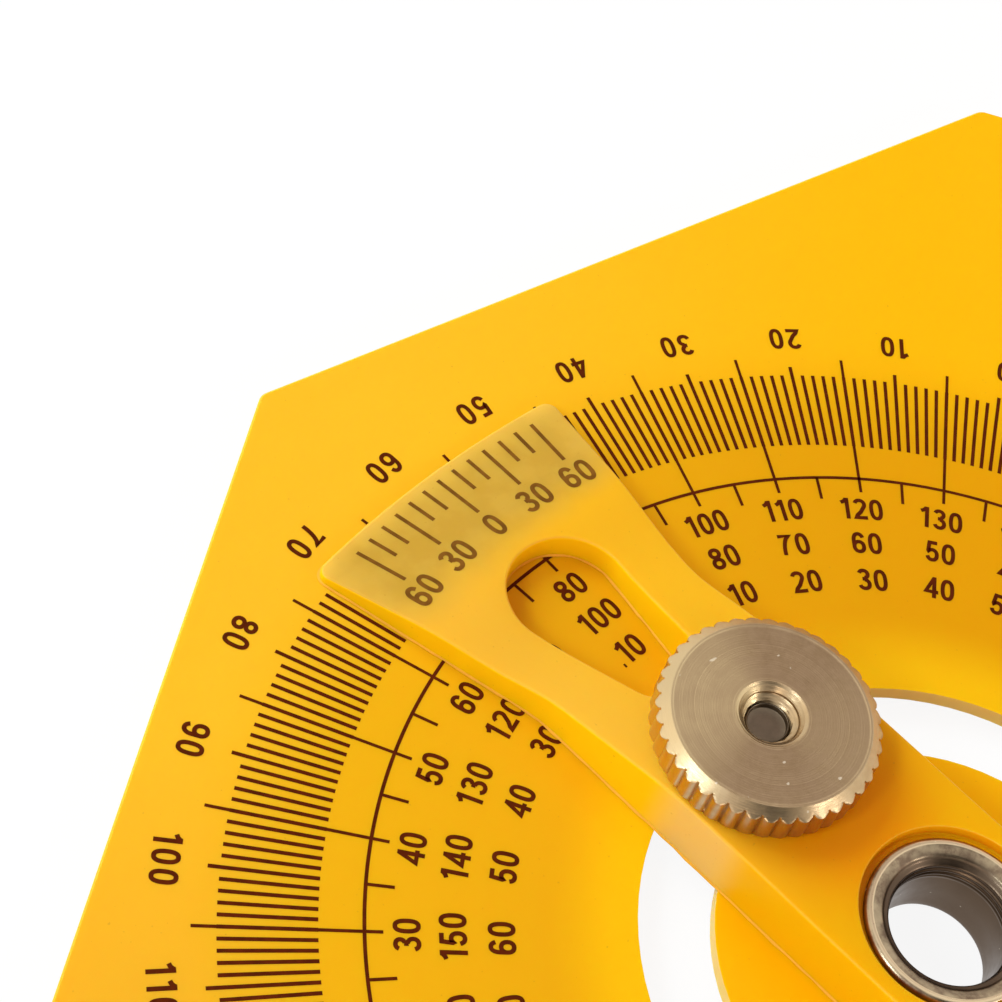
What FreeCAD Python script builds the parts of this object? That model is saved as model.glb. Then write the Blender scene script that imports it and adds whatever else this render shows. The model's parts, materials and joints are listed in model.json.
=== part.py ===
import FreeCAD, Part
import math
import os

# Angle finder with articulating arms, in millimetres and degrees.
# Origin: centre of the main pivot, on the marked face of the protractor head.
# +X runs along the head's base line, +Y towards the scale, +Z out of the marked face.
# The head and the base arm make the lower layer, below z = 0.
# The vernier arm and the swing arm make the upper layer, above z = 0.
# Four hollow eyelets join them into a parallelogram, and a knurled nut clamps it.

Vec = FreeCAD.Vector
CENTRE = Vec(0, 0, 0)
UP = Vec(0, 0, 1)

# Hollow eyelets and their washers
eyelet_bore_radius = 5.4
eyelet_wall = 0.5
flange_reach = 2.05
flange_height = 0.8
rim_width = 0.6
funnel_depth = 0.9
roll_reach = 1.3
roll_height = 0.6
washer_reach = 2.0
washer_thickness = 0.5
recess_clearance = 0.75
recess_spare_depth = 0.5
underside_spare_depth = 0.2
running_clearance = 0.05
open_pivot_clearance = 0.3

# Linkage
link_length = 80.0
rest_reading = 77.0
arm_reach = 200.0
arm_rim_wall = 1.6
end_corner_round = 2.0

# Lower layer: protractor head and base arm
plate_thickness = 3.0
head_left = 77.0
head_top = 77.2
head_rim_wall = 3.85
slant_distance = 71.15
slant_angle = 45.0
right_chamfer = 24.0
right_margin = 2.5
head_corner_round = 1.5
plate_edge_break = 0.2

# Upper layer: vernier arm and swing arm
arm_thickness = 6.8
arm_edge_break = 0.4
slope_blend = 30.0
tip_reach = 63.4
tip_half_width = 15.8
tip_arc_radius = 112.0
tip_thickness = 0.8
tip_corner_round = 1.2
bevel_length = 13.0
vernier_thickness = 3.0
nut_bearing_margin = 0.6
blade_land_length = 7.7
flare_length = 25.0
flare_blend = 14.0
window_radius = 5.85
window_narrow_radius = 4.0
window_tip_margin = 12.35
window_hole_margin = 5.15
blade_thickness = 3.0
blade_slope_margin = 9.0
blade_slope_length = 30.0

# Clamp: the screw's neck slides in the arc slot and the nut bears on the vernier arm
nut_radius = 10.2
nut_pivot_gap = 4.05
nut_height = 4.1
nut_chamfer_width = 1.15
nut_chamfer_height = 0.9
nut_foot_height = 0.5
knurl_teeth = 40
knurl_depth = 0.6
mouth_width = 1.2
mouth_depth = 1.0
screw_radius = 2.0
screw_hole_clearance = 0.25
screw_end_depth = 1.6
screw_head_lap = 1.4
screw_head_thickness = 1.1
channel_clearance = 0.5
slot_width = 6.8
slot_end_clearance = 0.6
neck_length = 5.0
neck_clearance = 0.35
neck_drop = 0.3
reading_min = 17.0
reading_max = 160.0

# Sizes and places that follow from these
tube_radius = eyelet_bore_radius + eyelet_wall
pivot_hole_radius = tube_radius + running_clearance
open_hole_radius = tube_radius + open_pivot_clearance
washer_radius = tube_radius + washer_reach
recess_radius = washer_radius + recess_clearance
half_width = recess_radius + arm_rim_wall
base_margin = recess_radius + head_rim_wall
lower_seat = -plate_thickness + underside_spare_depth + roll_height + washer_thickness
upper_seat = arm_thickness - flange_height - recess_spare_depth
clamp_radius = recess_radius + nut_pivot_gap + nut_radius
screw_hole_radius = screw_radius + screw_hole_clearance
screw_end = arm_thickness + nut_height - screw_end_depth
screw_head_radius = slot_width / 2 + screw_head_lap
channel_ceiling = -plate_thickness + underside_spare_depth + screw_head_thickness
slope_start = clamp_radius + nut_bearing_margin
bevel_start = tip_reach - bevel_length
window_far_end = tip_reach - window_tip_margin
window_near_end = clamp_radius + screw_hole_radius + window_hole_margin


def scale_direction(reading):
    """Unit vector from the pivot towards a reading of the scale, clockwise from -X."""
    turn = math.radians(reading)
    return Vec(-math.cos(turn), math.sin(turn), 0)


clamp_centre = scale_direction(rest_reading) * clamp_radius
tail_pivot = scale_direction(rest_reading) * -link_length
head_pivot = Vec(link_length, 0, 0)
crossing_pivot = head_pivot + tail_pivot


def round_outline(corners):
    """Flat face inside (x, y, radius) corners, each an arc of its radius or sharp at 0."""
    points = [Vec(x, y, 0) for x, y, radius in corners]
    arcs = []
    for i in range(len(corners)):
        radius = corners[i][2]
        before = (points[i - 1] - points[i]).normalize()
        after = (points[(i + 1) % len(corners)] - points[i]).normalize()
        half = before.getAngle(after) / 2
        reach = radius / math.tan(half)
        inward = (before + after).normalize()
        crest = points[i] + inward * (radius / math.sin(half) - radius)
        arcs.append((points[i] + before * reach, crest, points[i] + after * reach))
    edges = []
    for i in range(len(corners)):
        start, crest, end = arcs[i]
        following = arcs[(i + 1) % len(corners)][0]
        if corners[i][2] > 0:
            edges.append(Part.Arc(start, crest, end).toShape())
        if end.distanceToPoint(following) > 0.001:
            edges.append(Part.LineSegment(end, following).toShape())
    return Part.Face(Part.Wire(edges))


def upright(face, low, high):
    """Solid over a flat outline, from one height to another."""
    return face.translated(UP * low).extrude(UP * (high - low))


def cylinder(centre, radius, low, high):
    """Upright cylinder between two heights."""
    return Part.makeCylinder(radius, high - low, centre + UP * low)


def side_profile(corners):
    """Solid as wide as the arms' widest part, whose side view in x and z has these corners."""
    reach = tip_reach + half_width
    face = round_outline(corners)
    face.rotate(CENTRE, Vec(1, 0, 0), 90)
    face.translate(Vec(0, reach, 0))
    return face.extrude(Vec(0, -2 * reach, 0))


def is_upright(edge):
    """True where an edge runs straight up."""
    ends = edge.Vertexes
    if len(ends) != 2:
        return False
    run = ends[1].Point - ends[0].Point
    return abs(run.x) < 0.001 and abs(run.y) < 0.001


def upright_edges_at(solid, x):
    """The edges of a solid that run straight up at one x."""
    return [edge for edge in solid.Edges if is_upright(edge) and abs(edge.Vertexes[0].X - x) < 0.01]


def break_rim(piece, width):
    """The piece with every rim of its upper side bevelled, those of windows included."""
    underside = piece.BoundBox.ZMin + 0.001
    rim = []
    for edge in piece.Edges:
        on_underside = max(vertex.Point.z for vertex in edge.Vertexes) < underside
        if not on_underside and not is_upright(edge):
            rim.append(edge)
    return piece.makeChamfer(width, rim)


def lower_seat_cut(centre, hole_radius):
    """Eyelet hole of a lower-layer piece, with its recess open downwards."""
    hole = cylinder(centre, hole_radius, -plate_thickness - 1, 1)
    return hole.fuse(cylinder(centre, recess_radius, -plate_thickness - 1, lower_seat))


def upper_seat_cut(centre):
    """Eyelet hole of an upper-layer arm, with its recess open upwards."""
    hole = cylinder(centre, pivot_hole_radius, -1, arm_thickness + 1)
    return hole.fuse(cylinder(centre, recess_radius, upper_seat, arm_thickness + 1))


def arc_slot(width, low, high):
    """Round-ended slot along the clamp screw's path about the pivot."""
    inner = clamp_radius - width / 2
    outer = clamp_radius + width / 2
    overrun = math.degrees((neck_length / 2 + slot_end_clearance) / clamp_radius)
    first = scale_direction(reading_min - overrun)
    middle = scale_direction((reading_min + reading_max) / 2)
    last = scale_direction(reading_max + overrun)
    first_cap = first * clamp_radius - first.cross(UP) * (width / 2)
    last_cap = last * clamp_radius + last.cross(UP) * (width / 2)
    edges = [
        Part.Arc(first * outer, middle * outer, last * outer).toShape(),
        Part.Arc(last * outer, last_cap, last * inner).toShape(),
        Part.Arc(last * inner, middle * inner, first * inner).toShape(),
        Part.Arc(first * inner, first_cap, first * outer).toShape(),
    ]
    return upright(Part.Face(Part.Wire(edges)), low, high)


def protractor_head():
    """Plate with the slanted edge, the arc slot with its channel and two eyelet seats."""
    slant = math.radians(slant_angle)
    right = link_length + half_width + right_margin
    top_end = (head_top * math.cos(slant) - slant_distance) / math.sin(slant)
    left_end = (slant_distance - head_left * math.sin(slant)) / math.cos(slant)
    outline = round_outline([
        (-head_left, -base_margin, head_corner_round),
        (right, -base_margin, head_corner_round),
        (right, head_top - right_chamfer, head_corner_round),
        (right - right_chamfer, head_top, head_corner_round),
        (top_end, head_top, head_corner_round),
        (-head_left, left_end, head_corner_round),
    ])
    plate = break_rim(upright(outline, -plate_thickness, 0), plate_edge_break)
    channel_width = 2 * (screw_head_radius + channel_clearance)
    cuts = [
        arc_slot(slot_width, -plate_thickness - 1, 1),
        arc_slot(channel_width, -plate_thickness - 1, channel_ceiling),
        lower_seat_cut(CENTRE, pivot_hole_radius),
        lower_seat_cut(head_pivot, pivot_hole_radius),
    ]
    return plate.cut(cuts)


def drop_outline(near_x, near_radius, far_x, far_radius):
    """Flat face around two unequal circles on the x axis and the lines that touch both."""
    spread = far_x - near_x
    lean = math.acos((near_radius - far_radius) / spread)
    slope_x = math.cos(lean)
    slope_y = math.sin(lean)
    near_side = Vec(near_x + near_radius * slope_x, near_radius * slope_y, 0)
    far_side = Vec(far_x + far_radius * slope_x, far_radius * slope_y, 0)
    near_other = Vec(near_side.x, -near_side.y, 0)
    far_other = Vec(far_side.x, -far_side.y, 0)
    edges = [
        Part.Arc(far_other, Vec(far_x + far_radius, 0, 0), far_side).toShape(),
        Part.LineSegment(far_side, near_side).toShape(),
        Part.Arc(near_side, Vec(near_x - near_radius, 0, 0), near_other).toShape(),
        Part.LineSegment(near_other, far_other).toShape(),
    ]
    return Part.Face(Part.Wire(edges))


def vernier_plan():
    """Round tail, straight sides, then a flare to a shallow arc at the tip."""
    sagitta = tip_arc_radius - math.sqrt(tip_arc_radius ** 2 - tip_half_width ** 2)
    corner_x = tip_reach - sagitta
    flare_x = tip_reach - flare_length
    tail_end = Vec(-link_length - half_width, 0, 0)
    right = [
        Vec(-link_length, -half_width, 0),
        Vec(flare_x, -half_width, 0),
        Vec(corner_x, -tip_half_width, 0),
    ]
    left = [Vec(point.x, -point.y, 0) for point in right]
    edges = [
        Part.LineSegment(right[0], right[1]).toShape(),
        Part.LineSegment(right[1], right[2]).toShape(),
        Part.Arc(right[2], Vec(tip_reach, 0, 0), left[2]).toShape(),
        Part.LineSegment(left[2], left[1]).toShape(),
        Part.LineSegment(left[1], left[0]).toShape(),
        Part.Arc(left[0], tail_end, right[0]).toShape(),
    ]
    prism = upright(Part.Face(Part.Wire(edges)), 0, arm_thickness)
    tips = upright_edges_at(prism, corner_x)
    prism = prism.makeFillet(tip_corner_round, tips)
    bends = upright_edges_at(prism, flare_x)
    return prism.makeFillet(flare_blend, bends)


def vernier_arm():
    """Thick at the pivots, sloping to a flared blade with a bevelled tip, window and holes."""
    far = link_length + 2 * half_width
    side = side_profile([
        (-far, 0, 0),
        (tip_reach, 0, 0),
        (tip_reach, tip_thickness, 0),
        (bevel_start, vernier_thickness, slope_blend),
        (bevel_start - blade_land_length, vernier_thickness, slope_blend),
        (slope_start, arm_thickness, slope_blend),
        (-far, arm_thickness, 0),
    ])
    window = drop_outline(
        window_near_end + window_narrow_radius,
        window_narrow_radius,
        window_far_end - window_radius,
        window_radius,
    )
    arm = vernier_plan().common(side).cut(upright(window, -1, arm_thickness + 1))
    arm = break_rim(arm.removeSplitter(), arm_edge_break)
    tail = Vec(-link_length, 0, 0)
    screw_hole = cylinder(Vec(clamp_radius, 0, 0), screw_hole_radius, -1, arm_thickness + 1)
    arm = arm.cut([upper_seat_cut(CENTRE), upper_seat_cut(tail), screw_hole])
    arm.rotate(CENTRE, UP, 180 - rest_reading)
    return arm


def straight_arm(low, high):
    """Arm along +X from a pivot at the origin: round pivot end, square measuring end."""
    plan = round_outline([
        (-half_width, -half_width, half_width),
        (arm_reach, -half_width, end_corner_round),
        (arm_reach, half_width, end_corner_round),
        (-half_width, half_width, half_width),
    ])
    return upright(plan, low, high)


def base_arm():
    """Lower-layer arm that stays in line with the head's base."""
    arm = break_rim(straight_arm(-plate_thickness, 0), plate_edge_break)
    arm = arm.cut([
        lower_seat_cut(CENTRE, pivot_hole_radius),
        lower_seat_cut(Vec(link_length, 0, 0), open_hole_radius),
    ])
    arm.translate(tail_pivot)
    return arm


def swing_arm():
    """Upper-layer arm that stays in line with the vernier arm."""
    crest = link_length + recess_radius + blade_slope_margin
    side = side_profile([
        (-2 * half_width, 0, 0),
        (arm_reach, 0, 0),
        (arm_reach, blade_thickness, 0),
        (crest + blade_slope_length, blade_thickness, slope_blend),
        (crest, arm_thickness, slope_blend),
        (-2 * half_width, arm_thickness, 0),
    ])
    arm = straight_arm(0, arm_thickness).common(side)
    arm = break_rim(arm.removeSplitter(), arm_edge_break)
    arm = arm.cut([upper_seat_cut(CENTRE), upper_seat_cut(Vec(link_length, 0, 0))])
    arm.rotate(CENTRE, UP, -rest_reading)
    arm.translate(head_pivot)
    return arm


def turned(lines):
    """Solid of revolution about the z axis from lines between (radius, z) points."""
    edges = [Part.LineSegment(Vec(a, 0, b), Vec(c, 0, d)).toShape() for (a, b), (c, d) in lines]
    return Part.Face(Part.Wire(edges)).revolve(CENTRE, UP, 360)


def flared_end(seat, reach, height, side):
    """Lines of the eyelet's profile at one end, from the bore out to the tube under the flange."""
    end = seat + side * height
    outer = tube_radius + reach
    crest = outer - rim_width
    return [
        [(eyelet_bore_radius, end - side * funnel_depth), (crest, end)],
        [(crest, end), (outer, seat)],
        [(outer, seat), (tube_radius, seat)],
    ]


def eyelet(centre):
    """Hollow eyelet: funnelled flange in the upper recess, clinched roll under the washer."""
    clinch = lower_seat - washer_thickness
    upper = flared_end(upper_seat, flange_reach, flange_height, 1)
    lower = flared_end(clinch, roll_reach, roll_height, -1)
    tube = [(tube_radius, upper_seat), (tube_radius, clinch)]
    back = [run[::-1] for run in lower[::-1]]
    body = turned(upper + [tube] + back + [[back[-1][-1], upper[0][0]]])
    body.translate(centre)
    return body


def washer(centre):
    """Flat washer between the eyelet's roll and the lower recess."""
    disc = cylinder(centre, washer_radius, lower_seat - washer_thickness, lower_seat)
    return disc.cut(cylinder(centre, pivot_hole_radius, lower_seat - plate_thickness, lower_seat + 1))


def clamp_screw():
    """Flat head in the channel, square-sided neck in the slot, shank up into the nut."""
    head_foot = channel_ceiling - screw_head_thickness
    head = cylinder(CENTRE, screw_head_radius, head_foot, channel_ceiling)
    neck_width = slot_width - 2 * neck_clearance
    neck = Part.makeBox(neck_width, neck_length, -neck_drop - channel_ceiling)
    neck.translate(Vec(-neck_width / 2, -neck_length / 2, channel_ceiling))
    shank = cylinder(CENTRE, screw_radius, -neck_drop, screw_end)
    screw = head.fuse([neck, shank]).removeSplitter()
    screw.rotate(CENTRE, UP, 180 - rest_reading)
    screw.translate(clamp_centre)
    return screw


def knurled_nut():
    """Thumb nut: straight knurl, chamfer towards the turned face, threaded hole with a mouth."""
    root_radius = nut_radius - knurl_depth
    foot = arm_thickness + nut_foot_height
    face = arm_thickness + nut_height
    shoulder = face - nut_chamfer_height
    face_radius = nut_radius - nut_chamfer_width
    blank = turned([
        [(0, arm_thickness), (root_radius, arm_thickness)],
        [(root_radius, arm_thickness), (nut_radius, foot)],
        [(nut_radius, foot), (nut_radius, shoulder)],
        [(nut_radius, shoulder), (face_radius, face)],
        [(face_radius, face), (0, face)],
        [(0, face), (0, arm_thickness)],
    ])
    half_pitch = math.pi / knurl_teeth
    outline = []
    for step in range(2 * knurl_teeth):
        radius = root_radius if step % 2 else nut_radius
        outline.append(Vec(radius * math.cos(step * half_pitch), radius * math.sin(step * half_pitch), 0))
    star = Part.Face(Part.makePolygon(outline + outline[:1]))
    nut = blank.common(upright(star, arm_thickness, face))
    thread_radius = screw_radius + running_clearance
    thread = cylinder(CENTRE, thread_radius, arm_thickness - 1, face + 1)
    mouth_foot = Vec(0, 0, face - mouth_depth)
    mouth = Part.makeCone(thread_radius, thread_radius + mouth_width, mouth_depth, mouth_foot)
    nut = nut.cut([thread, mouth])
    nut.translate(clamp_centre)
    return nut


def save(shape, node):
    """Write one piece."""
    shape.exportStep("parts/" + node + ".step")


os.makedirs("parts", exist_ok=True)
save(protractor_head(), "protractor_head")
save(vernier_arm(), "vernier_arm")
save(base_arm(), "base_arm")
save(swing_arm(), "swing_arm")
pivots = {
    "pivot": CENTRE,
    "head_corner": head_pivot,
    "tail": tail_pivot,
    "crossing": crossing_pivot,
}
for place, centre in pivots.items():
    save(eyelet(centre), place + "_eyelet")
    save(washer(centre), place + "_washer")
save(clamp_screw(), "clamp_screw")
save(knurled_nut(), "knurled_nut")
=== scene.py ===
"""Looks of the angle finder: translucent plastic, printed scales, turned nut and eyelets, stage."""

import json
import math

import bpy
import numpy as np
from mathutils import Matrix, Vector
from mathutils.geometry import delaunay_2d_cdt


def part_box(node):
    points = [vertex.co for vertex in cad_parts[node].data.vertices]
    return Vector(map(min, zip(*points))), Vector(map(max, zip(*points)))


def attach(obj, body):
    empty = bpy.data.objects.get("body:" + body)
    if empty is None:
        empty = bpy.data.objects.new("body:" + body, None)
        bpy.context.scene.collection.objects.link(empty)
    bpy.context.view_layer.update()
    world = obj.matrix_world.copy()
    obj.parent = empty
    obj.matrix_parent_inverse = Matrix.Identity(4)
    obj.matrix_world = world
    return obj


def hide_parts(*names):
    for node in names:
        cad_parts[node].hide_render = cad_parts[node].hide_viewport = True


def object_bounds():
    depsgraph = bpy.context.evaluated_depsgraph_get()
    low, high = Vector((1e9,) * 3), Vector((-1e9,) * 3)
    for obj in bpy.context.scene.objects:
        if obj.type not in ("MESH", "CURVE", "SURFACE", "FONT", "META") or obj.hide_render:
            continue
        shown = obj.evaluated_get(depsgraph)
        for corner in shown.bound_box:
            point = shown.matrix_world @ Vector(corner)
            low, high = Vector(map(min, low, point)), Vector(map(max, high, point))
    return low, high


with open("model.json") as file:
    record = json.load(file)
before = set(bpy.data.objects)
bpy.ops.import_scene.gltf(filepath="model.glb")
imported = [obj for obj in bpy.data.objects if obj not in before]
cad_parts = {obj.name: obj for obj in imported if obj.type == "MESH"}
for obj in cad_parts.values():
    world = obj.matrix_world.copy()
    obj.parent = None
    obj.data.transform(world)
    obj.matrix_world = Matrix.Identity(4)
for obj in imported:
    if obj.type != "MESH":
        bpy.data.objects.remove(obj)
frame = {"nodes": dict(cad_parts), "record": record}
CAD_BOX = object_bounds()

bl_info = {
    "name": "Angle finder with arms",
    "version": (1, 0, 0),
    "blender": (4, 5, 0),
    "location": "3D View > Sidebar > Angle finder",
    "description": "Dresses the solids of an angle finder with its prints, turned pieces and finishes",
    "category": "Object",
}

MM = 0.001


# ---------------------------------------------------------------- places


def mount(name):
    """Place of a mount of the record, in millimetres."""
    for entry in frame["record"]["mounts"]:
        if entry["name"] == name:
            return np.array(entry["pos_m"]) / MM
    raise ValueError("the record has no mount named " + name)


def low_high(node):
    """Lowest and highest z of a CAD node, in millimetres."""
    low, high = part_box(node)
    return low.z / MM, high.z / MM


PIVOTS = {place: mount(place + "_bore") for place in ("pivot", "head_corner", "tail", "crossing")}
EYELET_BODY = {"pivot": "head", "head_corner": "head", "tail": "vernier", "crossing": "swing"}
EYELET_LOW, EYELET_HIGH = low_high("pivot_eyelet")
ARM_HIGH = low_high("vernier_arm")[1]
NUT_LOW, NUT_HIGH = low_high("knurled_nut")
SCREW_LOW, SCREW_HIGH = low_high("clamp_screw")
NUT_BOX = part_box("knurled_nut")
NUT_CENTRE = np.array([NUT_BOX[0].x + NUT_BOX[1].x, NUT_BOX[0].y + NUT_BOX[1].y]) / (2 * MM)
CLAMP_RADIUS = float(np.hypot(*NUT_CENTRE))
REST_READING = math.degrees(math.atan2(NUT_CENTRE[1], -NUT_CENTRE[0]))


def scale_point(reading, radius):
    """Points on the head at readings in degrees, clockwise from -X, and radii about the pivot."""
    turn = np.radians(reading)
    return np.stack([-np.cos(turn) * radius, np.sin(turn) * radius], -1)


AHEAD = scale_point(REST_READING, 1.0)
LEFT = np.array([-AHEAD[1], AHEAD[0]])


# ---------------------------------------------------------------- meshes


def grid_quads(rows, columns, wrap_rows, wrap_columns):
    """Quads between neighbours of a grid of points, closed round either way where it wraps."""
    index = np.arange(rows * columns).reshape(rows, columns)
    if wrap_rows:
        index = np.vstack([index, index[:1]])
    if wrap_columns:
        index = np.hstack([index, index[:, :1]])
    corners = [index[:-1, :-1], index[1:, :-1], index[1:, 1:], index[:-1, 1:]]
    return np.stack(corners, -1).reshape(-1, 4)


def signed_volume(points, faces):
    """Six times the volume inside faces: positive where they point outwards.

    Each face is a fan of triangles (a, b, c) from its first corner, and adds the sum of a . (b x c)."""
    sizes = np.array([len(face) for face in faces])
    corners = np.concatenate([np.asarray(face) for face in faces])
    first = np.repeat(np.cumsum(sizes) - sizes, sizes)
    rank = np.arange(len(corners)) - first
    fan = np.flatnonzero((rank > 0) & (rank < np.repeat(sizes, sizes) - 1))
    a, b, c = points[corners[first[fan]]], points[corners[fan]], points[corners[fan + 1]]
    return float(np.einsum("ij,ij->", a, np.cross(b, c)))


def paint(mesh, made):
    """Gives a mesh one material alone."""
    mesh.materials.clear()
    mesh.materials.append(made)


def new_piece(name, parts, body, made, replaces=(), sharp=None, edge=None):
    """Mesh object from (points in millimetres, faces) parts that rides on a body.

    Each part is a closed shell and is turned outwards where its volume comes out negative. A value
    for each point goes into the attribute named edge."""
    points, faces = [], []
    offset = 0
    for part_points, part_faces in parts:
        part_points = np.asarray(part_points, float).reshape(-1, 3)
        part_faces = [list(face) for face in part_faces]
        if signed_volume(part_points, part_faces) < 0:
            part_faces = [face[::-1] for face in part_faces]
        points.append(part_points)
        faces += [[int(i) + offset for i in face] for face in part_faces]
        offset += len(part_points)
    mesh = bpy.data.meshes.new(name)
    mesh.from_pydata(np.vstack(points) * MM, [], faces)
    mesh.polygons.foreach_set("use_smooth", [sharp is not None] * len(mesh.polygons))
    if sharp is not None:
        mesh.set_sharp_from_angle(angle=math.radians(sharp))
    if edge is not None:
        marks = mesh.attributes.new("edge", "FLOAT", "POINT")
        marks.data.foreach_set("value", np.asarray(edge, np.float32))
    paint(mesh, made)
    mesh.update()
    piece = bpy.data.objects.new(name, mesh)
    bpy.context.scene.collection.objects.link(piece)
    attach(piece, body)
    if replaces:
        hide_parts(*replaces)


def full_turn(steps):
    """Column of angles all the way round."""
    return np.linspace(0, 2 * np.pi, steps, endpoint=False)[:, None]


def lathe(rows, steps, centre, wrap):
    """Profile of (radius, z) rows turned about an upright axis.

    A point at angle a and row k is centre + (radius_k cos a, radius_k sin a), z_k. A radius may be a
    column by angle. With wrap the profile is a closed loop, and otherwise its two ends are closed by
    flat discs."""
    radius = np.hstack([np.broadcast_to(row[0], (steps, 1)) for row in rows])
    angle = full_turn(steps)
    x = centre[0] + radius * np.cos(angle)
    y = centre[1] + radius * np.sin(angle)
    z = np.broadcast_to([row[1] for row in rows], x.shape)
    faces = grid_quads(steps, len(rows), True, wrap).tolist()
    if not wrap:
        ring = np.arange(steps) * len(rows)
        faces += [ring[::-1].tolist(), (ring + len(rows) - 1).tolist()]
    return np.stack([x, y, z], -1), faces


def unit(vectors):
    """Vectors scaled to a length of 1."""
    return vectors / np.linalg.norm(vectors, axis=-1, keepdims=True)


def rounded(corners, closed, spacing):
    """Points along (x, y, radius) corners, each an arc of its radius or sharp at 0.

    The arc touches both sides at radius / tan(half the corner's angle) from the corner, takes a point
    every 6 degrees, and the straight runs between take one a spacing at most."""
    spots = [np.array(corner[:2], float) for corner in corners]
    runs = []
    for i, (x, y, radius) in enumerate(corners):
        if radius == 0 or not closed and i in (0, len(corners) - 1):
            runs.append(spots[i][None])
            continue
        before = unit(spots[i - 1] - spots[i])
        after = unit(spots[(i + 1) % len(spots)] - spots[i])
        half = math.acos(float(np.clip(before @ after, -1, 1))) / 2
        inward = unit(before + after)
        centre = spots[i] + inward * radius / math.sin(half)
        sweep = math.pi / 2 - half
        a = np.linspace(-sweep, sweep, 2 * max(int(math.degrees(sweep) / 6), 1) + 1)[:, None]
        runs.append(centre - radius * (inward * np.cos(a) - unit(after - before) * np.sin(a)))
    path = []
    for i, run in enumerate(runs):
        path.append(run)
        if closed or i < len(runs) - 1:
            start, end = run[-1], runs[(i + 1) % len(runs)][0]
            count = int(np.linalg.norm(end - start) / spacing)
            path.append(start + (end - start) * (np.arange(1, count + 1) / (count + 1))[:, None])
    path = np.vstack(path)
    step = np.linalg.norm(path - np.roll(path, 1, 0), axis=1)
    return path[step > 1e-6] if closed else path


def outward(loop):
    """Unit normals of a closed loop of points that runs anticlockwise."""
    along = unit(unit(np.roll(loop, -1, 0) - loop) + unit(loop - np.roll(loop, 1, 0)))
    return np.stack([along[:, 1], -along[:, 0]], -1)


def inside(points, loops):
    """True where points of the plan lie inside the first loop and outside the others.

    A point lies inside a loop when a line from it to +x crosses the loop an odd number of times."""
    x, y = points[:, :1], points[:, 1:]
    within = []
    for start in loops:
        end = np.roll(start, -1, 0)
        spans = (start[:, 1] > y) != (end[:, 1] > y)
        rise = np.where(end[:, 1] == start[:, 1], 1.0, end[:, 1] - start[:, 1])
        meet = start[:, 0] + (y - start[:, 1]) / rise * (end[:, 0] - start[:, 0])
        within.append((spans & (x < meet)).sum(1) % 2 == 1)
    return within[0] & ~np.any(within[1:], axis=0)


def fill(loops, extra):
    """Triangles of the flat region inside the first loop and outside the others.

    Corners count through the loops in turn and then through the extra points within the region."""
    points = np.vstack([*loops, extra])
    edges, offset = [], 0
    for loop in loops:
        index = np.arange(len(loop)) + offset
        edges.append(np.stack([index, np.roll(index, -1)], -1))
        offset += len(loop)
    corners = [Vector(point) for point in points.tolist()]
    made = delaunay_2d_cdt(corners, np.vstack(edges).tolist(), [], 0, 1e-7)
    source = np.array([origin[0] for origin in made[3]])
    triangles = source[np.array(made[2])]
    return triangles[inside(points[triangles].mean(1), loops)]


# ---------------------------------------------------------------- printed lines and numerals


def bow(cx, cy, rx, ry, first, last, count, power):
    """Points of an arc of a superellipse between two angles in degrees.

    x = cx + rx sgn(cos a)|cos a|^(2/power), and y likewise with the sine."""
    a = np.radians(np.linspace(first, last, count))
    c, s = np.cos(a), np.sin(a)
    x = cx + rx * np.sign(c) * np.abs(c) ** (2 / power)
    y = cy + ry * np.sign(s) * np.abs(s) ** (2 / power)
    return np.stack([x, y], -1)


def line(*points):
    """Corner points as an array."""
    return np.array(points, float)


def numeral_strokes(width, stroke):
    """Centrelines of the numerals as (points, closed) runs, in heights of a numeral.

    Narrow upright figures: bows are superellipse arcs, joined by straight runs."""
    half = stroke / 2
    left, right, middle = half, width - half, width / 2
    low, high = half, 1 - half
    rx = (right - left) / 2
    six_ring = bow(middle, 0.315, rx, 0.315 - half, 0, 360, 25, 2.2)[:-1]
    six_stem = np.vstack([
        bow(middle, 0.60, rx, high - 0.60, 25, 180, 15, 2.2),
        line((left, 0.5), (left, 0.34)),
    ])
    turned = np.array([width, 1.0])
    return {
        "0": [(bow(middle, 0.5, rx, 0.5 - half, 0, 360, 33, 2.5)[:-1], True)],
        "1": [(line((0.03, 0.77), (0.14, 0.82), (0.22, 0.90), (0.25, 0.97)), False),
              (line((0.285, 1.0), (0.285, 0.0)), False)],
        "2": [(np.vstack([
            bow(middle, 0.72, rx, high - 0.72, 165, -25, 15, 2.1),
            line((middle + 0.02, 0.36), (left + 0.06, 0.2), (left + 0.005, low), (width, low)),
        ]), False)],
        "3": [(bow(middle - 0.01, 0.745, rx - 0.02, high - 0.745, 165, -75, 15, 2.1), False),
              (bow(middle, 0.285, rx, 0.285 - half, 85, -165, 19, 2.1), False),
              (line((middle - 0.07, 0.53), (middle + 0.04, 0.53)), False)],
        "4": [(line((0.40, 0.94), (left - 0.01, 0.29), (width + 0.02, 0.29)), False),
              (line((0.41, 1.0), (0.41, 0.0)), False)],
        "5": [(np.vstack([
            line((right, high), (left + 0.075, high), (left + 0.03, 0.52)),
            bow(middle, 0.33, rx, 0.33 - half, 140, -165, 19, 2.2),
        ]), False)],
        "6": [(six_ring, True), (six_stem, False)],
        "7": [(np.vstack([
            line((0.0, high), (right, high)),
            bow(right + 0.02, -0.1, 0.36, 1.0, 103, 172, 9, 2.0),
        ]), False)],
        "8": [(bow(middle, 0.74, rx - 0.015, high - 0.74, 0, 360, 21, 2.1)[:-1], True),
              (bow(middle, 0.275, rx, 0.275 - half, 0, 360, 23, 2.1)[:-1], True)],
        "9": [(turned - six_ring, True), (turned - six_stem, False)],
        ".": [(line((0.0, 0.06), (0.09, 0.06)), False)],
    }


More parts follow.
